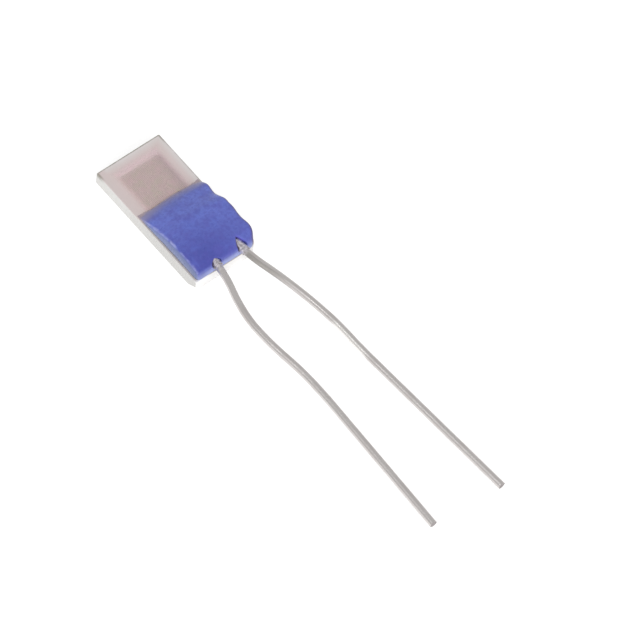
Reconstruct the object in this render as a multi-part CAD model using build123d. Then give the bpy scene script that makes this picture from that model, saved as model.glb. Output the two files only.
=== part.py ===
from build123d import *
import math
import os

# A thin-film platinum resistance temperature detector. The origin is the centre of the ceramic
# plate's back face, +Z is the plate's printed side, and the two leads leave towards -Y.
# All sizes are in millimetres.

# Ceramic plate
plate_width = 2.0
plate_length = 4.0
plate_thickness = 0.4
plate_corner_radius = 0.03
plate_near_right_radius = 0.28
plate_edge_break = 0.012

# The chip off the plate's lower near left corner: how far it reaches along, across and up
chip_length = 0.3
chip_width = 0.12
chip_height = 0.2

# Platinum film: one track folded into legs along Y, between the two contact pads
film_thickness = 0.005
track_width = 0.021
track_pitch = 0.042
film_near_margin = 1.4

# Glass layer over the film, and how far it reaches past the film
passivation_thickness = 0.02
passivation_side_margin = 0.24
passivation_far_margin = 0.2
passivation_corner_radius = 0.05
cover_side_margin = 0.16
cover_far_margin = 0.27
cover_near_margin = 0.06

# Contact pads that the leads are welded to
pad_width = 0.64
pad_thickness = 0.012
pad_spacing = 0.9
pad_end_margin = 0.12
pad_gap_to_film = 0.12
pad_corner_radius = 0.04

# Lead wires, from the welds on the pads down to the tips, which rest on the table. lead_reach is how
# far the right tip lies past the plate's lead end, and the left lead is cut a little shorter.
lead_diameter = 0.2
lead_reach = 8.96
left_lead_trim = 0.13
lead_exit_height = 0.22
weld_foot_inset = 0.76
weld_foot_width = 0.26
weld_foot_length = 0.4
weld_foot_thickness = 0.13
weld_foot_edge_radius = 0.03
rise_top_inset = 0.34
lead_corner_share = 0.45

# Each lead's flattened root, in the glaze and a little past the plate's lead end
root_width = 0.26
root_height = 0.22
root_start_inset = 0.28
left_root_reach = 0.03
right_root_reach = 0.1

# How far across from the middle of its pad each lead lies, at its weld foot and at the top of its rise
left_foot_offset = 0.18
left_rise_offset = 0.16
right_foot_offset = 0.02
right_rise_offset = 0.01

# Each lead's corners from the plate out to its tip, in hundredths of its reach: how far out past the
# plate's lead end, and how far across from the middle of its pad.
left_route = [
    (0.7, 1.25),
    (5.7, 0.57),
    (13.0, -1.54),
    (20.4, -2.54),
    (29.4, -2.07),
    (40.8, -0.37),
    (50.5, 0.0),
    (100, -0.52),
]
right_route = [
    (3.4, 0.85),
    (13.7, 3.8),
    (24.6, 6.03),
    (34.0, 7.31),
    (43.6, 7.62),
    (100, 12.68),
]

# Blue fixing glaze over the pads and the weld feet
glaze_length = 2.42
glaze_height = 0.44
glaze_side_inset = 0.005
glaze_end_inset = 0.015
glaze_undercut_depth = 0.04
glaze_end_radius = 0.1
glaze_far_trim_depth = 0.09

# The glaze's form, from the lead end to the far edge: place as a share of its length, and, as shares of
# its height, the heights of the left wall, the crown and the right wall, the shoulders' width, how far
# the left wall and the right wall's foot draw in, and how far the right wall swells over its foot.
# The walls swell most at glaze_bulge of their own height.
glaze_bulge = 0.45
glaze_form = [
    (0.0, 0.62, 0.76, 0.66, 0.3, 0.1, 0.45, 0.07),
    (0.1, 0.72, 0.9, 0.86, 0.27, 0.05, 0.1, 0.085),
    (0.2, 0.79, 0.98, 0.95, 0.26, 0.05, 0.05, 0.105),
    (0.3, 0.81, 1.0, 0.94, 0.26, 0.05, 0.06, 0.065),
    (0.4, 0.8, 1.0, 0.95, 0.26, 0.06, 0.05, 0.1),
    (0.5, 0.74, 0.96, 0.93, 0.26, 0.06, 0.05, 0.12),
    (0.6, 0.64, 0.91, 0.87, 0.26, 0.06, 0.05, 0.09),
    (0.7, 0.5, 0.75, 0.58, 0.24, 0.06, 0.06, 0.03),
    (0.8, 0.35, 0.58, 0.43, 0.17, 0.06, 0.04, 0.06),
    (0.9, 0.19, 0.36, 0.24, 0.1, 0.06, 0.03, 0.03),
    (1.0, 0.05, 0.12, 0.06, 0.03, 0.07, 0.03, 0.015),
]

# The glaze's far edge is a little uneven: place across as a share of the plate's width, and how far
# the edge draws back from its furthest reach, as a share of glaze_far_trim_depth.
glaze_far_edge = [
    (-0.6, 0.1),
    (-0.44, 0.1),
    (-0.28, 0.7),
    (-0.02, 0.4),
    (0.2, 0.6),
    (0.36, 0.7),
    (0.48, 0.3),
    (0.6, 0.2),
]

# The glaze draws back to a point on top of each lead, where the lead comes out of it.
left_notch_length = 0.17
right_notch_length = 0.36
notch_gap = 0.02

# Places that follow from the sizes above
plate_top = plate_thickness
lead_end = -plate_length / 2
far_end = plate_length / 2
passivation_width = plate_width - 2 * passivation_side_margin
passivation_far = far_end - passivation_far_margin
film_width = passivation_width - 2 * cover_side_margin
film_far = passivation_far - cover_far_margin
film_near = lead_end + film_near_margin
pad_far_edge = film_near - pad_gap_to_film
pad_top = plate_top + pad_thickness
lead_radius = lead_diameter / 2


def chip_plane():
    """The broken face that the chip leaves, facing into the plate."""
    left = -plate_width / 2
    along = Vector(left, lead_end + chip_length, 0)
    across = Vector(left + chip_width, lead_end, 0)
    up = Vector(left, lead_end, chip_height)
    return Plane(along, x_dir=across - along, z_dir=(up - along).cross(across - along))


def corners_to_near_right(block):
    """A block's upright edges, the one at the lead end on the right last."""
    upright = block.edges().filter_by(Axis.Z)
    return upright.sort_by(lambda edge: edge.center().X - edge.center().Y)


def build_plate():
    blank = Box(
        plate_width,
        plate_length,
        plate_thickness,
        align=(Align.CENTER, Align.CENTER, Align.MIN),
    )
    rounded = fillet(corners_to_near_right(blank)[:-1], plate_corner_radius)
    rounded = fillet(corners_to_near_right(rounded)[-1], plate_near_right_radius)
    rims = rounded.faces().filter_by(Axis.Z).edges()
    return split(chamfer(rims, plate_edge_break), chip_plane(), Keep.TOP)


def leg_places():
    """Where the film's legs lie across the plate: an even number, so that both ends meet a pad."""
    count = 2 * int((film_width / track_pitch + 1) / 2)
    return [(index - (count - 1) / 2) * track_pitch for index in range(count)]


def film_centre_line():
    """The track's corners, from the left pad to the right one."""
    places = leg_places()
    corners = [(places[0], pad_far_edge)]
    for index, x in enumerate(places[:-1]):
        turn = film_far if index % 2 == 0 else film_near
        corners.append((x, turn))
        corners.append((places[index + 1], turn))
    corners.append((places[-1], pad_far_edge))
    return corners


def track_outline(corners, width):
    """The two sides of a track of square turns, as one closed outline."""
    sides = ([], [])
    for index, (x, y) in enumerate(corners):
        before = corners[max(index - 1, 0)]
        after = corners[min(index + 1, len(corners) - 1)]
        across_x = 0.0
        across_y = 0.0
        for run_x, run_y in ((x - before[0], y - before[1]), (after[0] - x, after[1] - y)):
            if abs(run_x) > abs(run_y):
                across_y = math.copysign(width / 2, run_x)
            elif abs(run_y) > 0:
                across_x = -math.copysign(width / 2, run_y)
        sides[0].append((x + across_x, y + across_y))
        sides[1].append((x - across_x, y - across_y))
    return sides[0] + sides[1][::-1]


def build_film():
    outline = Polyline(*track_outline(film_centre_line(), track_width), close=True)
    return Pos(0, 0, plate_top) * extrude(make_face(outline), film_thickness)


def build_passivation(film):
    near = film_near - cover_near_margin
    sheet = RectangleRounded(passivation_width, passivation_far - near, passivation_corner_radius)
    layer = extrude(sheet, passivation_thickness)
    return Pos(0, (passivation_far + near) / 2, plate_top) * layer - film


def build_pad(side):
    near = lead_end + pad_end_margin
    sheet = RectangleRounded(pad_width, pad_far_edge - near, pad_corner_radius)
    layer = extrude(sheet, pad_thickness)
    return Pos(side * pad_spacing / 2, (pad_far_edge + near) / 2, plate_top) * layer


def lead_corners(side, foot_offset, rise_offset, route, reach):
    """The corners of a lead's centre line: along the pad, up, out, and down to the table."""
    pad_middle = side * pad_spacing / 2
    foot_height = pad_top + weld_foot_thickness / 2
    exit_height = plate_top + lead_exit_height
    foot_x = pad_middle + foot_offset
    foot_y = lead_end + weld_foot_inset
    corners = [
        Vector(foot_x, foot_y + weld_foot_length, foot_height),
        Vector(foot_x, foot_y, foot_height),
        Vector(pad_middle + rise_offset, lead_end + rise_top_inset, exit_height),
    ]
    for out, across in route:
        drop = (exit_height - lead_radius) * out / 100
        corners.append(
            Vector(pad_middle + across / 100 * reach, lead_end - out / 100 * reach, exit_height - drop)
        )
    return corners


def place_on_exit_run(corners, y):
    """The point at y on the straight run that takes a lead out of the glaze."""
    start = corners[2]
    run = corners[3] - start
    return start + run * ((start.Y - y) / -run.Y)


def corner_radii(corners):
    """At each corner, the largest arc that its two runs leave room for."""
    radii = []
    for before, corner, after in zip(corners, corners[1:], corners[2:]):
        run_in = corner - before
        run_out = after - corner
        turn = math.radians(run_in.get_angle(run_out))
        shorter = min(run_in.length, run_out.length)
        radii.append(lead_corner_share * shorter / math.tan(turn / 2))
    return radii


def weld_foot_blank(width, thickness):
    """A block over the pressed end of a wire that starts at the origin and runs towards -Y."""
    return Box(width, weld_foot_length, thickness, align=(Align.CENTER, Align.MAX, Align.CENTER))


def under_the_pad():
    """The space that the plate and the pads take up under a weld."""
    return Box(
        2 * plate_width,
        plate_length,
        plate_thickness,
        align=(Align.CENTER, Align.CENTER, Align.MAX),
    )


def build_root(corners, reach):
    """The flattened root: an oval bar along the lead's exit run."""
    inner = place_on_exit_run(corners, lead_end + root_start_inset)
    outer = place_on_exit_run(corners, lead_end - reach)
    length = (outer - inner).length
    section = Plane(inner, x_dir=(1, 0, 0), z_dir=outer - inner) * Ellipse(root_width / 2, root_height / 2)
    return extrude(section, length)


def build_lead(corners, root_reach):
    radii = corner_radii(corners)
    path = FilletPolyline(*corners, radius=radii)
    section = Plane(path @ 0, z_dir=path % 0) * Circle(lead_radius)
    wire = sweep(section, path=path)
    straight_volume = path.length * math.pi * lead_radius**2
    print("bend radii", [round(radius, 2) for radius in radii])
    print("wire volume", round(wire.volume, 4), "section times length", round(straight_volume, 4))
    print("straight end", round(path.edges()[-1].length, 3), "tip", path @ 1, "direction", path % 1)

    # The weld squeezes the wire's end flat between the pad and the electrode.
    foot = weld_foot_blank(weld_foot_width, weld_foot_thickness)
    foot = fillet(foot.edges().filter_by(Axis.Y), weld_foot_edge_radius)
    squeezed = weld_foot_blank(2 * weld_foot_width, 2 * lead_diameter)
    pressed = wire - Pos(corners[0]) * squeezed + Pos(corners[0]) * foot + build_root(corners, root_reach)
    return pressed - Pos(0, 0, pad_top) * under_the_pad()


def glaze_section(share, left_wall, crown, right_wall, shoulder, left_in, right_in, right_swell):
    """One upright section of the glaze: swelling walls, round shoulders and a low arched crown."""
    y = lead_end + glaze_end_inset + share * (glaze_length - glaze_end_inset)
    left = -plate_width / 2 + glaze_side_inset + left_in * glaze_height
    left_foot = left + left_wall * glaze_undercut_depth
    right_foot = plate_width / 2 - glaze_side_inset - right_in * glaze_height
    right = right_foot + right_swell * glaze_height
    left_height = left_wall * glaze_height
    right_height = right_wall * glaze_height
    crown_height = crown * glaze_height
    left_swell_height = glaze_bulge * left_height
    right_swell_height = glaze_bulge * right_height
    crown_left = left + shoulder * glaze_height
    crown_right = right - shoulder * glaze_height
    crown_reach = (crown_right - crown_left) / 4
    base = Line((right_foot, 0), (left_foot, 0))
    left_side = Spline(
        (left_foot, 0),
        (left, left_swell_height),
        tangents=[(2 * (left - left_foot), left_swell_height), (0, 1)],
    )
    right_side = Spline(
        (right, right_swell_height),
        (right_foot, 0),
        tangents=[(0, -1), (2 * (right_foot - right), -right_swell_height)],
    )
    crown_line = Spline(
        (crown_left, left_height),
        ((crown_left + crown_right) / 2, crown_height),
        (crown_right, right_height),
        tangents=[(crown_reach, crown_height - left_height), (crown_reach, right_height - crown_height)],
    )
    left_shoulder = Spline(
        left_side @ 1,
        crown_line @ 0,
        tangents=[left_side % 1, crown_line % 0],
    )
    right_shoulder = Spline(
        crown_line @ 1,
        right_side @ 0,
        tangents=[crown_line % 1, right_side % 0],
    )
    outline = Wire([base, left_side, left_shoulder, crown_line, right_shoulder, right_side])
    upright = Plane((0, y, plate_top), x_dir=(1, 0, 0), z_dir=(0, -1, 0))
    return upright * make_face(outline)


def far_trim():
    """What the glaze's uneven far edge leaves off."""
    reach = lead_end + glaze_length
    beyond = reach + glaze_height
    places = [(share * plate_width, reach - back * glaze_far_trim_depth) for share, back in glaze_far_edge]
    edge = Spline(*places)
    rest = Polyline(edge @ 1, ((edge @ 1).X, beyond), ((edge @ 0).X, beyond), edge @ 0)
    return Pos(0, 0, plate_top) * extrude(make_face(Wire([edge, *rest.edges()])), glaze_height)


def exit_notch(corners, length):
    """A pointed opening in the glaze around a lead's root, from the lead's middle height up."""
    middle = place_on_exit_run(corners, lead_end)
    half_width = root_width / 2 + notch_gap
    mouth = Line((half_width, 0), (-half_width, 0))
    left_side = Spline((-half_width, 0), (0, length), tangents=[(0, 1), (half_width, length)])
    right_side = Spline((0, length), (half_width, 0), tangents=[(half_width, -length), (0, -1)])
    opening = make_face(Wire([mouth, left_side, right_side]))
    return Pos(middle.X, lead_end, middle.Z) * extrude(opening, glaze_height)


def build_glaze(buried):
    bead = loft([glaze_section(*station) for station in glaze_form])
    end_face = bead.faces().sort_by(Axis.Y)[0]
    end_rim = [edge for edge in end_face.edges() if edge.center().Z > plate_top + glaze_end_radius / 4]
    bead = fillet(end_rim, glaze_end_radius)
    bead -= far_trim()
    bead -= exit_notch(left_corners, left_notch_length)
    bead -= exit_notch(right_corners, right_notch_length)
    for solid in buried:
        bead -= solid
    return bead


os.makedirs("parts", exist_ok=True)
left_corners = lead_corners(
    -1, left_foot_offset, left_rise_offset, left_route, lead_reach - left_lead_trim
)
right_corners = lead_corners(1, right_foot_offset, right_rise_offset, right_route, lead_reach)
film = build_film()
under_glaze = {
    "platinum_meander": film,
    "glass_passivation": build_passivation(film),
    "contact_pad_left": build_pad(-1),
    "contact_pad_right": build_pad(1),
    "lead_wire_left": build_lead(left_corners, left_root_reach),
    "lead_wire_right": build_lead(right_corners, right_root_reach),
}
parts = {
    "substrate": build_plate(),
    "fixing_glaze": build_glaze(under_glaze.values()),
    **under_glaze,
}
for node, solid in parts.items():
    export_step(solid, f"parts/{node}.step")
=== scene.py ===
import math

import bpy
from mathutils import Matrix, Quaternion, Vector, noise


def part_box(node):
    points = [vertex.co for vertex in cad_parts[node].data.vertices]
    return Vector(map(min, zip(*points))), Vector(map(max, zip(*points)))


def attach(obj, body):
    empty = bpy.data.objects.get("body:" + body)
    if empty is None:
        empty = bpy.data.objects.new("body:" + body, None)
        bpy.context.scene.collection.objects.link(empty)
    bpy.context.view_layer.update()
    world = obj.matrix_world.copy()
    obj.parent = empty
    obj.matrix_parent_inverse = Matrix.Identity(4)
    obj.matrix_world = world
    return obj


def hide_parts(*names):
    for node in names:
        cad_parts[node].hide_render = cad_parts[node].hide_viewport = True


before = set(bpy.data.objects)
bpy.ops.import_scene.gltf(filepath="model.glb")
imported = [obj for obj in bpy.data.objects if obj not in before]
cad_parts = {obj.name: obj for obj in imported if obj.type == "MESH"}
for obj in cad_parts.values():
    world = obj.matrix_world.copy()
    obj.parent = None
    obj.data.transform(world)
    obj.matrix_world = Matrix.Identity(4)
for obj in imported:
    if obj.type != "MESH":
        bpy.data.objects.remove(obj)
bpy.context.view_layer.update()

MM = 0.001


# A box's two corners, and the axes
LOW, HIGH = 0, 1
X, Y, Z = 0, 1, 2


def at(node, corner, axis):
    """Where one side of a CAD node's box lies, in millimetres."""
    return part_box(node)[corner][axis] / MM


# Places on the part, in millimetres, read from the frame
PLATE_TOP = at("substrate", HIGH, Z)
PLATE_RIGHT = at("substrate", HIGH, X)
LEAD_END = at("substrate", LOW, Y)
FAR_END = at("substrate", HIGH, Y)
GLAZE_FAR = at("fixing_glaze", HIGH, Y)
GLAZE_END = at("fixing_glaze", LOW, Y)
GLAZE_LEFT = at("fixing_glaze", LOW, X)
COVER_RIGHT = at("glass_passivation", HIGH, X)
COVER_FAR = at("glass_passivation", HIGH, Y)
COVER_TOP = at("glass_passivation", HIGH, Z)


def paint(red, green, blue):
    """A colour as a shader takes it, from the 8-bit values that it has on a screen."""
    shares = [value / 255 for value in (red, green, blue)]
    linear = [((share + 0.055) / 1.055) ** 2.4 for share in shares]
    return (*linear, 1.0)


def grey(value):
    """A grey as a shader takes it."""
    return (value, value, value, 1)


class Graph:
    """A material's nodes. Most methods add nodes and return the socket that carries the result.

    Places and lengths are in millimetres. Directions are those of the world, as x, y and z.
    """

    def __init__(self, name):
        self.material = bpy.data.materials.new(name)
        self.material.use_nodes = True
        self.tree = self.material.node_tree
        self.tree.nodes.clear()
        self.output = self.tree.nodes.new("ShaderNodeOutputMaterial")
        texture_place = self.tree.nodes.new("ShaderNodeTexCoord")
        in_millimetres = self.tree.nodes.new("ShaderNodeVectorMath")
        in_millimetres.operation = "SCALE"
        in_millimetres.inputs["Scale"].default_value = 1 / MM
        self.tree.links.new(texture_place.outputs["Object"], in_millimetres.inputs[0])
        self.place = in_millimetres.outputs[0]
        split = self.tree.nodes.new("ShaderNodeSeparateXYZ")
        self.tree.links.new(self.place, split.inputs[0])
        self.x, self.y, self.z = split.outputs

    def feed(self, socket, value):
        if isinstance(value, bpy.types.NodeSocket):
            self.tree.links.new(value, socket)
        else:
            socket.default_value = value

    def math(self, operation, first, second=0.0):
        node = self.tree.nodes.new("ShaderNodeMath")
        node.operation = operation
        self.feed(node.inputs[0], first)
        self.feed(node.inputs[1], second)
        return node.outputs[0]

    def product(self, first, *others):
        result = first
        for factor in others:
            result = self.math("MULTIPLY", result, factor)
        return result

    def rise(self, value, low, high, start=0.0, end=1.0):
        """Goes smoothly from start, where value is low, to end, where it is high.

        Low may also be the larger of the two: then it goes from start to end as value falls.
        """
        node = self.tree.nodes.new("ShaderNodeMapRange")
        node.interpolation_type = "SMOOTHSTEP"
        limits = {"From Min": low, "From Max": high, "To Min": start, "To Max": end}
        for name, number in limits.items():
            self.feed(node.inputs[name], number)
        self.feed(node.inputs["Value"], value)
        return node.outputs[0]

    def noise(self, scale, detail=3.0, roughness=0.5, stretch=(1, 1, 1), shift=(0, 0, 0)):
        """Noise from 0 to 1 with about scale lumps to the millimetre."""
        mapping = self.tree.nodes.new("ShaderNodeMapping")
        mapping.inputs["Scale"].default_value = stretch
        mapping.inputs["Location"].default_value = shift
        self.tree.links.new(self.place, mapping.inputs["Vector"])
        node = self.tree.nodes.new("ShaderNodeTexNoise")
        node.inputs["Scale"].default_value = scale
        node.inputs["Detail"].default_value = detail
        node.inputs["Roughness"].default_value = roughness
        self.tree.links.new(mapping.outputs[0], node.inputs["Vector"])
        return node.outputs["Fac"]

    def mix(self, share, first, second):
        node = self.tree.nodes.new("ShaderNodeMix")
        node.data_type = "RGBA"
        self.feed(node.inputs["Factor"], share)
        # A mix node has its inputs and outputs once for each kind of data: these are the colours.
        first_color, second_color, mixed_color = node.inputs[6], node.inputs[7], node.outputs[2]
        self.feed(first_color, first)
        self.feed(second_color, second)
        return mixed_color

    def inside(self, node, start, end):
        """Goes from 0, at start inside a node's left, right and far sides, to 1, at end inside."""
        left = self.math("SUBTRACT", self.x, at(node, LOW, X))
        right = self.math("SUBTRACT", at(node, HIGH, X), self.x)
        far = self.math("SUBTRACT", at(node, HIGH, Y), self.y)
        return self.rise(self.math("MINIMUM", self.math("MINIMUM", left, right), far), start, end)

    def facing(self):
        """The surface's outward direction as three numbers."""
        geometry = self.tree.nodes.new("ShaderNodeNewGeometry")
        split = self.tree.nodes.new("ShaderNodeSeparateXYZ")
        self.tree.links.new(geometry.outputs["Normal"], split.inputs[0])
        return split.outputs

    def bump(self, height, depth, strength):
        """Relief from a height of 0 to 1 that stands for depth."""
        node = self.tree.nodes.new("ShaderNodeBump")
        node.inputs["Strength"].default_value = strength
        node.inputs["Distance"].default_value = depth * MM
        self.feed(node.inputs["Height"], height)
        return node.outputs[0]

    def surface(self, color, roughness, metallic=0.0, normal=None, **settings):
        shader = self.tree.nodes.new("ShaderNodeBsdfPrincipled")
        self.feed(shader.inputs["Base Color"], color)
        self.feed(shader.inputs["Roughness"], roughness)
        self.feed(shader.inputs["Metallic"], metallic)
        if normal is not None:
            self.feed(shader.inputs["Normal"], normal)
        for name, value in settings.items():
            self.feed(shader.inputs[name.replace("_", " ")], value)
        self.tree.links.new(shader.outputs[0], self.output.inputs["Surface"])
        return self.material


def alumina():
    graph = Graph("alumina")
    grain = graph.noise(38, detail=4, roughness=0.6)
    clouds = graph.noise(1.6, detail=2)
    rim = graph.mix(grain, paint(211, 205, 204), paint(218, 212, 211))
    # Beyond the glaze, the rim is pinker on the left.
    on_left = graph.rise(graph.x, -0.72, -0.86, end=0.8)
    pinker = graph.product(on_left, graph.rise(graph.y, GLAZE_FAR - 0.2, GLAZE_FAR))
    rim = graph.mix(pinker, rim, paint(206, 191, 190))
    middle = graph.mix(grain, paint(205, 189, 188), paint(212, 196, 195))
    top = graph.mix(graph.inside("substrate", 0.02, 0.26), rim, middle)
    # The top is painted paler along the sawn end: painted light over the shade beside the glaze's
    # end wall.
    sawn_strip = graph.rise(graph.y, LEAD_END + 0.08, LEAD_END + 0.03)
    top = graph.mix(sawn_strip, top, paint(240, 239, 240))
    side = graph.mix(grain, paint(219, 218, 216), paint(229, 228, 225))
    # The side is painted darker towards the lead end, as painted shade.
    side = graph.mix(graph.rise(graph.y, 1.2, -0.4, end=0.4), side, paint(196, 195, 193))
    # The sawn end's face is painted the palest, as painted light.
    facing = graph.facing()
    sawn = graph.rise(facing[Y], -0.6, -0.9)
    side = graph.mix(sawn, side, graph.mix(grain, paint(243, 242, 241), paint(249, 248, 247)))
    facing_up = graph.rise(facing[Z], 0.3, 0.9)
    body = graph.mix(facing_up, side, top)
    body = graph.mix(graph.rise(clouds, 0.35, 0.75, end=0.2), body, paint(200, 192, 186))
    # Between the film's tracks the ceramic is nearer to them in tone, so that they don't flicker.
    under_film = graph.product(graph.inside("platinum_meander", -0.12, 0.1), facing_up)
    body = graph.mix(under_film, body, graph.mix(grain, paint(174, 167, 155), paint(183, 176, 164)))
    # A brown mark runs along the far edge and round both of its corners.
    near_edge = graph.rise(graph.y, FAR_END - 0.05, FAR_END - 0.012)
    near_top = graph.rise(graph.z, PLATE_TOP - 0.16, PLATE_TOP - 0.02)
    blotches = graph.rise(graph.noise(9), 0.3, 0.6, start=0.35, end=0.9)
    mark = graph.product(near_edge, near_top, blotches)
    off_middle = graph.math("ABSOLUTE", graph.x)
    corner = graph.rise(off_middle, PLATE_RIGHT - 0.07, PLATE_RIGHT - 0.02)
    corner = graph.product(corner, graph.rise(graph.y, FAR_END - 0.35, FAR_END - 0.1, end=0.7))
    mark = graph.math("MAXIMUM", mark, graph.product(corner, near_top))
    body = graph.mix(mark, body, paint(128, 124, 110))
    # A fainter one runs along the right side.
    near_right = graph.rise(graph.x, PLATE_RIGHT - 0.05, PLATE_RIGHT - 0.012)
    faint_blotches = graph.rise(graph.noise(6), 0.3, 0.6, start=0.2, end=0.6)
    faint = graph.product(near_right, faint_blotches, near_top)
    body = graph.mix(faint, body, paint(140, 134, 124))
    relief = graph.bump(grain, depth=0.004, strength=0.5)
    return graph.surface(body, graph.rise(grain, 0.2, 0.8, start=0.42, end=0.6), normal=relief)


def platinum_film():
    graph = Graph("platinum_film")
    clouds = graph.noise(3, detail=4)
    body = graph.mix(clouds, paint(178, 167, 162), paint(187, 176, 172))
    # The track's low side walls are painted lighter: painted light over the shade at their sides.
    body = graph.mix(graph.rise(graph.facing()[Z], 0.9, 0.3), body, paint(226, 214, 208))
    return graph.surface(body, graph.rise(clouds, 0.2, 0.8, start=0.38, end=0.55), metallic=0.35)


def cover_glass():
    graph = Graph("cover_glass")
    clouds = graph.noise(2.2, detail=3)
    body = graph.mix(clouds, paint(242, 213, 217), paint(236, 207, 210))
    # It is mottled, darker along its right side and paler along its far one.
    mottle = graph.noise(4.5, detail=4, roughness=0.65, shift=(2, 5, 0))
    body = graph.mix(graph.rise(mottle, 0.42, 0.7, end=0.7), body, paint(222, 212, 196))
    body = graph.mix(graph.rise(mottle, 0.45, 0.25, end=0.7), body, paint(246, 200, 216))
    near_right = graph.rise(graph.x, COVER_RIGHT - 0.45, COVER_RIGHT - 0.1, end=0.8)
    body = graph.mix(near_right, body, paint(212, 184, 196))
    near_far_side = graph.rise(graph.y, COVER_FAR - 0.4, COVER_FAR - 0.15, end=0.8)
    body = graph.mix(near_far_side, body, paint(255, 232, 238))
    relief = graph.bump(graph.noise(12, detail=3), depth=0.003, strength=0.4)
    # It fades out at its sides, so that the ceramic shows through them. Its alpha is low, because
    # the ceramic is seen through its top and its underside, and the film through its top alone.
    inside = graph.inside("glass_passivation", 0, 0.22)
    alpha = graph.product(inside, graph.rise(clouds, 0.2, 0.8, start=0.27, end=0.33))
    roughness = graph.rise(clouds, 0.2, 0.8, start=0.24, end=0.36)
    return graph.surface(body, roughness, normal=relief, Alpha=alpha)


def pad_metal():
    graph = Graph("pad_metal")
    clouds = graph.noise(9, detail=4)
    body = graph.mix(clouds, paint(176, 172, 168), paint(204, 200, 196))
    return graph.surface(body, graph.rise(clouds, 0.2, 0.8, start=0.3, end=0.5), metallic=1.0)


def lead_metal():
    graph = Graph("lead_metal")
    drawn = graph.noise(16, detail=4, roughness=0.6, stretch=(1, 0.08, 1))
    clouds = graph.noise(2.4, detail=3)
    body = graph.mix(drawn, paint(200, 195, 193), paint(214, 210, 208))
    body = graph.mix(graph.rise(clouds, 0.4, 0.75, end=0.4), body, paint(188, 180, 177))
    # The roots at the glaze and the cut tips are duller and mottled, and the tips are darker too.
    facing = graph.facing()
    pits = graph.noise(13, detail=4, roughness=0.65)
    mottled = graph.mix(graph.rise(pits, 0.35, 0.65), paint(164, 160, 166), paint(228, 223, 230))
    root = graph.rise(graph.y, LEAD_END - 0.22, LEAD_END - 0.08)
    tip = graph.rise(facing[Y], -0.8, -0.95)
    dull = graph.math("MAXIMUM", root, tip)
    body = graph.mix(dull, body, mottled)
    body = graph.mix(graph.product(tip, 0.8), body, paint(142, 134, 131))
    # The right lead is duller on its first stretch, and there its left side is painted darker, as
    # painted shade.
    on_right = graph.rise(graph.x, 0.0, 0.2)
    by_glaze = graph.rise(graph.y, LEAD_END - 1.9, LEAD_END - 0.8)
    stretch = graph.product(on_right, by_glaze, graph.math("SUBTRACT", 1.0, dull))
    on_its_left = graph.rise(facing[X], -0.1, -0.4)
    body = graph.mix(graph.product(stretch, on_its_left), body, paint(160, 156, 152))
    # Where it bends, its left side is painted brighter: a painted glint.
    past_start = graph.rise(graph.y, LEAD_END - 2.8, LEAD_END - 3.1)
    before_end = graph.rise(graph.y, LEAD_END - 4.3, LEAD_END - 4.0)
    bend_glint = graph.product(on_right, before_end, past_start, graph.rise(facing[X], -0.1, -0.45))
    body = graph.mix(bend_glint, body, paint(238, 235, 232))
    roughness = graph.rise(clouds, 0.25, 0.75, start=0.22, end=0.34)
    roughness = graph.math("ADD", roughness, graph.product(dull, 0.2))
    roughness = graph.math("ADD", roughness, graph.product(stretch, 0.15))
    height = graph.math("ADD", drawn, graph.product(pits, root, 4.0))
    relief = graph.bump(height, depth=0.003, strength=0.4)
    return graph.surface(body, roughness, metallic=1.0, normal=relief)


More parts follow.
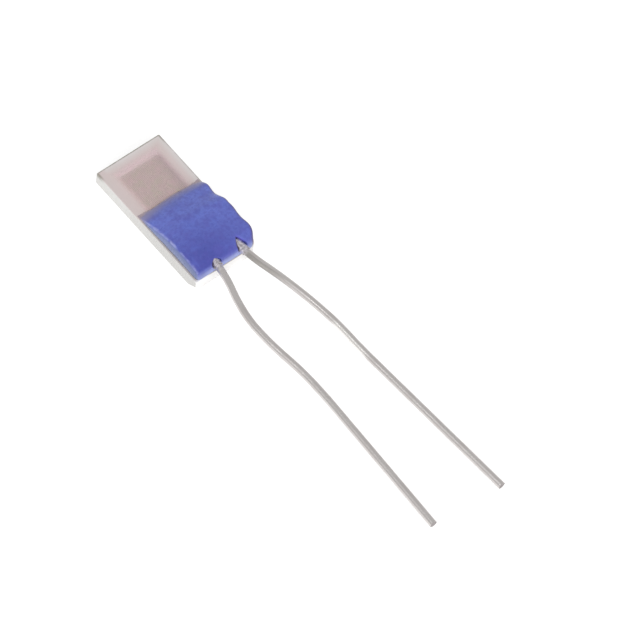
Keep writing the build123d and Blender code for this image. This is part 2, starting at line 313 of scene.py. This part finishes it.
def blue_glaze():
    graph = Graph("blue_glaze")
    lumps = graph.noise(5, detail=4, roughness=0.55)
    patches = graph.noise(3.2, detail=3, roughness=0.6, shift=(4, 0, 0))
    speckle = graph.noise(26, detail=4, roughness=0.65)
    # It is painted darker towards the lead end: painted shade on the slope that faces the leads.
    along = graph.rise(graph.y, GLAZE_END, GLAZE_FAR - 0.4)
    deep = graph.mix(speckle, paint(58, 64, 150), paint(72, 80, 168))
    pale = graph.mix(speckle, paint(95, 111, 195), paint(113, 127, 217))
    body = graph.mix(along, deep, pale)
    body = graph.mix(graph.rise(graph.x, -0.5, 0.9, end=0.45), body, paint(110, 124, 212))
    body = graph.mix(graph.rise(lumps, 0.4, 0.7, end=0.45), body, paint(86, 84, 172))
    body = graph.mix(graph.rise(patches, 0.5, 0.75, end=0.4), body, paint(90, 110, 200))
    spots = graph.noise(12, detail=3, roughness=0.6, shift=(0, 3, 0))
    body = graph.mix(graph.rise(spots, 0.4, 0.65, end=0.3), body, paint(62, 64, 152))
    fade = graph.rise(graph.y, GLAZE_FAR - 0.5, GLAZE_FAR - 0.1, end=0.5)
    body = graph.mix(fade, body, paint(102, 106, 158))
    # It is painted paler low down its end wall, partly because the glaze is thin there and partly
    # as a painted reflection of the white floor, and less so at the left of it.
    facing = graph.facing()
    low = graph.rise(graph.z, PLATE_TOP + 0.36, PLATE_TOP + 0.06)
    towards_leads = graph.rise(facing[Y], -0.2, -0.85)
    inward = graph.rise(graph.y, GLAZE_END + 0.08, GLAZE_END + 0.16)
    end_wall = graph.product(graph.math("SUBTRACT", towards_leads, inward), low)
    end_wall = graph.math("MAXIMUM", end_wall, 0.0)
    at_left = graph.rise(graph.x, GLAZE_LEFT + 0.5, GLAZE_LEFT + 0.2)
    end_paint = graph.mix(at_left, paint(157, 167, 217), paint(136, 144, 194))
    body = graph.mix(graph.product(end_wall, 0.95), body, end_paint)
    # The walls of the hollows that the leads leave by lie in shade, and are painted paler: painted
    # light that lifts that shade.
    between_outer_sides = graph.rise(graph.math("ABSOLUTE", graph.x), 0.8, 0.7)
    before_bottom = graph.rise(graph.y, LEAD_END + 0.6, LEAD_END + 0.5)
    steep = graph.rise(facing[Z], 0.6, 0.2)
    hollow = graph.product(between_outer_sides, before_bottom, steep, inward)
    body = graph.mix(hollow, body, paint(98, 96, 196))
    # Down its right side, where it laps over the plate, it is painted darker: painted shade on the
    # side turned from the light.
    body = graph.mix(graph.rise(facing[X], 0.2, 0.65, end=0.85), body, paint(88, 74, 116))
    # Its left wall is painted a dull violet, a painted reflection, dark at the foot as painted
    # shade, with a broken painted highlight along the shoulder.
    on_left = graph.rise(graph.x, GLAZE_LEFT + 0.4, GLAZE_LEFT + 0.3)
    left_wall = graph.product(graph.rise(facing[X], -0.5, -0.9), on_left)
    body = graph.mix(graph.product(left_wall, 0.6), body, paint(130, 142, 162))
    foot_shade = graph.product(left_wall, graph.rise(graph.z, PLATE_TOP + 0.09, PLATE_TOP + 0.01))
    body = graph.mix(foot_shade, body, paint(92, 94, 112))
    leaning = graph.product(graph.rise(facing[X], -0.25, -0.5), graph.rise(facing[X], -0.8, -0.6))
    shoulder_highlight = graph.product(leaning, graph.rise(facing[Y], -0.6, -0.3))
    breaks = graph.noise(4.5, detail=4, roughness=0.6, shift=(1, 2, 0))
    broken = graph.product(graph.rise(breaks, 0.3, 0.7, end=0.7), on_left)
    body = graph.mix(graph.product(shoulder_highlight, broken), body, paint(176, 182, 226))
    # Towards its thin far edge it takes on some of the tone of what it lies on.
    thin = graph.rise(graph.z, PLATE_TOP + 0.2, PLATE_TOP + 0.01)
    far = graph.rise(graph.y, GLAZE_FAR - 0.45, GLAZE_FAR - 0.2)
    thinnest = graph.rise(graph.z, PLATE_TOP + 0.07, PLATE_TOP + 0.01)
    edge_paint = graph.mix(thinnest, paint(146, 141, 172), paint(170, 155, 163))
    body = graph.mix(graph.product(thin, far), body, edge_paint)
    height = graph.math("ADD", lumps, graph.product(speckle, 0.3))
    relief = graph.bump(height, depth=0.012, strength=0.5)
    # What faces the leads is duller.
    dull = graph.rise(facing[Y], -0.02, -0.25, end=0.35)
    roughness = graph.math("ADD", graph.rise(lumps, 0.3, 0.7, start=0.26, end=0.36), dull)
    return graph.surface(body, roughness, normal=relief)


def dress(node, material):
    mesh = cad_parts[node].data
    mesh.materials.clear()
    mesh.materials.append(material)


# The turn between two faces, in degrees, from which their shared edge shows as an edge
SHARP_ANGLE = 50


def finish_piece(piece, node, material):
    """Takes a piece worked on in millimetres into the frame, to show instead of its CAD node."""
    piece.data.transform(Matrix.Scale(MM, 4))
    for polygon in piece.data.polygons:
        polygon.use_smooth = True
    piece.data.set_sharp_from_angle(angle=math.radians(SHARP_ANGLE))
    piece.data.materials.clear()
    piece.data.materials.append(material)
    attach(piece, "root")
    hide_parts(node)


def add_piece(name, mesh):
    piece = bpy.data.objects.new(name, mesh)
    bpy.context.scene.collection.objects.link(piece)
    return piece


def smooth_step(value, low, high):
    """Goes smoothly from 0, where value is low, to 1, where it is high."""
    share = min(max((value - low) / (high - low), 0.0), 1.0)
    return share * share * (3 - 2 * share)


def keep_modified(piece):
    """Turns what the piece's modifiers make of its mesh into that mesh, and drops them."""
    modified = piece.evaluated_get(bpy.context.evaluated_depsgraph_get())
    piece.data = bpy.data.meshes.new_from_object(modified)
    piece.modifiers.clear()


# The glaze bead, in millimetres: the CAD bead's mesh, evened out, softened as melted glass is, and
# given its slight lumps
BEAD_CELL = 0.02
BEAD_SOFTENING = 7
BEAD_SOFTENING_SHARE = 0.5

# The far edge and the foot are softened less: how far in from the far edge the softening starts and
# is whole, its share at that edge, and the heights over the plate where it starts and is whole
BEAD_FAR_START = 0.02
BEAD_FAR_REACH = 0.5
BEAD_FAR_SHARE = 0.15
BEAD_FOOT_START = 0.01
BEAD_FOOT_REACH = 0.07

# How far from its far edge the bead starts to thin out, how much of its height over the plate and
# the cover glass is then gone at the edge, and over what width beside the cover glass it comes down
# from the one to the other
BEAD_TAPER_REACH = 0.16
BEAD_TAPER = 0.9
BEAD_COVER_STEP = 0.06

# The least thickness over the plate, the depth of each set of lumps and how many come to the
# millimetre, and the heights over the plate where the lumps start and are whole
BEAD_THINNEST = 0.004
BEAD_LUMPS = ((0.011, 1.6), (0.004, 5.0))
BEAD_LUMPS_START = 0.02
BEAD_LUMPS_REACH = 0.12


def soften_bead(bead):
    cells = bead.modifiers.new("cells", "REMESH")
    cells.mode = "VOXEL"
    cells.voxel_size = BEAD_CELL
    keep_modified(bead)
    soft = bead.vertex_groups.new(name="soft")
    for vertex in bead.data.vertices:
        from_far = smooth_step(GLAZE_FAR - vertex.co.y, BEAD_FAR_START, BEAD_FAR_REACH)
        foot_low, foot_high = PLATE_TOP + BEAD_FOOT_START, PLATE_TOP + BEAD_FOOT_REACH
        above_foot = smooth_step(vertex.co.z, foot_low, foot_high)
        share = BEAD_FAR_SHARE + (1 - BEAD_FAR_SHARE) * from_far
        soft.add([vertex.index], share * above_foot, "REPLACE")
    melt = bead.modifiers.new("melt", "SMOOTH")
    melt.factor = BEAD_SOFTENING_SHARE
    melt.iterations = BEAD_SOFTENING
    melt.vertex_group = "soft"
    keep_modified(bead)
    bead.vertex_groups.clear()


def thin_far_edge(bead):
    for vertex in bead.data.vertices:
        inside_cover = COVER_RIGHT + BEAD_COVER_STEP - abs(vertex.co.x)
        over_cover = smooth_step(inside_cover, 0.0, BEAD_COVER_STEP)
        bed = PLATE_TOP + (COVER_TOP - PLATE_TOP) * over_cover
        over = vertex.co.z - bed
        if over > 0:
            from_far = smooth_step(GLAZE_FAR - vertex.co.y, 0.0, BEAD_TAPER_REACH)
            vertex.co.z = bed + over * (1 - BEAD_TAPER * (1 - from_far))


def add_lumps(bead):
    normals = [vertex.normal.copy() for vertex in bead.data.vertices]
    for vertex, normal in zip(bead.data.vertices, normals):
        if normal.z > 0:
            vertex.co.z = max(vertex.co.z, PLATE_TOP + BEAD_THINNEST)
        lumps_low, lumps_high = PLATE_TOP + BEAD_LUMPS_START, PLATE_TOP + BEAD_LUMPS_REACH
        height = smooth_step(vertex.co.z, lumps_low, lumps_high)
        for depth, scale in BEAD_LUMPS:
            vertex.co += normal * depth * height * noise.noise(vertex.co * scale)


def build_bead():
    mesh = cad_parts["fixing_glaze"].data.copy()
    mesh.transform(Matrix.Scale(1 / MM, 4))
    bead = add_piece("glaze_bead", mesh)
    soften_bead(bead)
    thin_far_edge(bead)
    add_lumps(bead)
    finish_piece(bead, "fixing_glaze", blue_glaze())


# The cover glass, in millimetres: how round its upper rim and its corners are, in how many steps
# each is turned, and the gap between the plate's top and its underside
COVER_RIM = 0.012
COVER_RIM_STEPS = 4
COVER_CORNER = 0.06
COVER_CORNER_STEPS = 8
COVER_GAP = 0.0006


def rounded_ring(left, right, near, far, radius, height):
    """The points of a rounded rectangle at a height, going round anticlockwise."""
    ring = []
    for quarter, (x, y) in enumerate(((right, far), (left, far), (left, near), (right, near))):
        inward_x = -1 if x == right else 1
        inward_y = -1 if y == far else 1
        for step in range(COVER_CORNER_STEPS + 1):
            angle = math.radians(90 * quarter + 90 * step / COVER_CORNER_STEPS)
            ring.append((
                x + inward_x * radius + math.cos(angle) * radius,
                y + inward_y * radius + math.sin(angle) * radius,
                height,
            ))
    return ring


def build_cover():
    low, high = (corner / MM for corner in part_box("glass_passivation"))
    rings = [rounded_ring(low.x, high.x, low.y, high.y, COVER_CORNER, PLATE_TOP + COVER_GAP)]
    for step in range(COVER_RIM_STEPS + 1):
        angle = math.radians(90 * step / COVER_RIM_STEPS)
        inset = COVER_RIM * (1 - math.cos(angle))
        rings.append(rounded_ring(
            low.x + inset,
            high.x - inset,
            low.y + inset,
            high.y - inset,
            COVER_CORNER - inset,
            high.z - COVER_RIM * (1 - math.sin(angle)),
        ))
    count = len(rings[0])
    faces = []
    for level in range(len(rings) - 1):
        for index in range(count):
            after = (index + 1) % count
            faces.append((
                level * count + index,
                level * count + after,
                (level + 1) * count + after,
                (level + 1) * count + index,
            ))
    faces.append(tuple(range((len(rings) - 1) * count, len(rings) * count)))
    faces.append(tuple(reversed(range(count))))
    mesh = bpy.data.meshes.new("cover_glass")
    mesh.from_pydata([point for ring in rings for point in ring], [], faces)
    cover = add_piece("glass_cover", mesh)
    finish_piece(cover, "glass_passivation", cover_glass())


lead_finish = lead_metal()
pad_finish = pad_metal()
dress("substrate", alumina())
dress("platinum_meander", platinum_film())
dress("contact_pad_left", pad_finish)
dress("contact_pad_right", pad_finish)
dress("lead_wire_left", lead_finish)
dress("lead_wire_right", lead_finish)
build_cover()
build_bead()

# The floor: its side, the gap below the part in metres, its grey and how much that varies, and the
# glow that lifts it to white for the camera and for what mirrors it
FLOOR_SIDE = 1.2
FLOOR_GAP = 0.000002
FLOOR_GREY = 0.8
FLOOR_MOTTLE = 0.02
FLOOR_GLOW = 0.42


def build_floor():
    corner = FLOOR_SIDE / 2
    mesh = bpy.data.meshes.new("floor")
    ring = [(-corner, -corner, 0), (corner, -corner, 0), (corner, corner, 0), (-corner, corner, 0)]
    mesh.from_pydata(ring, [], [(0, 1, 2, 3)])
    floor = bpy.data.objects.new("floor", mesh)
    floor.location.z = -FLOOR_GAP
    bpy.context.scene.collection.objects.link(floor)
    graph = Graph("floor")
    tree = graph.tree
    rays = tree.nodes.new("ShaderNodeLightPath")
    seen = graph.math("MAXIMUM", rays.outputs["Is Camera Ray"], rays.outputs["Is Glossy Ray"])
    seen = graph.math("MAXIMUM", seen, rays.outputs["Is Transmission Ray"])
    paper = tree.nodes.new("ShaderNodeBsdfDiffuse")
    mottle = graph.noise(0.05, detail=2)
    color = graph.mix(mottle, grey(FLOOR_GREY), grey(FLOOR_GREY + FLOOR_MOTTLE))
    graph.feed(paper.inputs["Color"], color)
    glow = tree.nodes.new("ShaderNodeEmission")
    glow.inputs["Strength"].default_value = FLOOR_GLOW
    both = tree.nodes.new("ShaderNodeAddShader")
    tree.links.new(paper.outputs[0], both.inputs[0])
    tree.links.new(glow.outputs[0], both.inputs[1])
    chosen = tree.nodes.new("ShaderNodeMixShader")
    tree.links.new(seen, chosen.inputs[0])
    tree.links.new(paper.outputs[0], chosen.inputs[1])
    tree.links.new(both.outputs[0], chosen.inputs[2])
    tree.links.new(chosen.outputs[0], graph.output.inputs["Surface"])
    mesh.materials.append(graph.material)


# The lamps: name, place and side in metres, and watts
LAMPS = (
    ("left", (-0.396, -0.138, 0.099), 0.18, 0.33),
    ("front", (-0.086, -0.37, 0.198), 0.3, 0.88),
    ("glint", (-0.222, 0.017, 0.372), 0.1, 0.08),
)


def build_lamp(name, place, side, watts):
    """A square lamp that shines towards the origin."""
    lamp = bpy.data.lights.new(name, "AREA")
    lamp.shape = "SQUARE"
    lamp.size = side
    lamp.energy = watts
    holder = bpy.data.objects.new(name, lamp)
    holder.location = place
    holder.rotation_mode = "QUATERNION"
    holder.rotation_quaternion = (-Vector(place)).to_track_quat("-Z", "Y")
    bpy.context.scene.collection.objects.link(holder)


# The grey of the room that lights the part. The camera itself sees white.
ROOM_GREY = 0.7


def build_world():
    world = bpy.data.worlds.new("studio")
    bpy.context.scene.world = world
    world.use_nodes = True
    tree = world.node_tree
    tree.nodes.clear()
    rays = tree.nodes.new("ShaderNodeLightPath")
    room = tree.nodes.new("ShaderNodeBackground")
    room.inputs["Color"].default_value = grey(ROOM_GREY)
    white = tree.nodes.new("ShaderNodeBackground")
    white.inputs["Color"].default_value = grey(1)
    chosen = tree.nodes.new("ShaderNodeMixShader")
    output = tree.nodes.new("ShaderNodeOutputWorld")
    tree.links.new(rays.outputs["Is Camera Ray"], chosen.inputs[0])
    tree.links.new(room.outputs[0], chosen.inputs[1])
    tree.links.new(white.outputs[0], chosen.inputs[2])
    tree.links.new(chosen.outputs[0], output.inputs[0])


build_floor()
build_world()
for lamp_values in LAMPS:
    build_lamp(*lamp_values)

# The camera: where it looks from, as turns in degrees; where it looks, from how far, how wide a
# view it takes in there and its sensor's width, in millimetres; and the range it sees, in metres
CAMERA_AZIMUTH = -46.32
CAMERA_ELEVATION = 57.44
CAMERA_ROLL = 8.82
CAMERA_AIM = (0.828, -4.660, 0.4)
CAMERA_DISTANCE = 400
CAMERA_WIDTH = 15.92
CAMERA_SENSOR = 36
CAMERA_RANGE = (0.001, 5)


def build_camera():
    data = bpy.data.cameras.new("camera")
    data.sensor_width = CAMERA_SENSOR
    data.lens = CAMERA_SENSOR * CAMERA_DISTANCE / CAMERA_WIDTH
    data.clip_start, data.clip_end = CAMERA_RANGE
    azimuth = math.radians(CAMERA_AZIMUTH)
    elevation = math.radians(CAMERA_ELEVATION)
    level = math.cos(elevation)
    back = Vector((math.sin(azimuth) * level, -math.cos(azimuth) * level, math.sin(elevation)))
    camera = bpy.data.objects.new("camera", data)
    camera.rotation_mode = "QUATERNION"
    camera.location = (Vector(CAMERA_AIM) + back * CAMERA_DISTANCE) * MM
    roll = Quaternion((0, 0, 1), math.radians(CAMERA_ROLL))
    camera.rotation_quaternion = (-back).to_track_quat("-Z", "Y") @ roll
    bpy.context.scene.collection.objects.link(camera)
    bpy.context.scene.camera = camera


build_camera()
bpy.context.scene.view_settings.view_transform = "Standard"
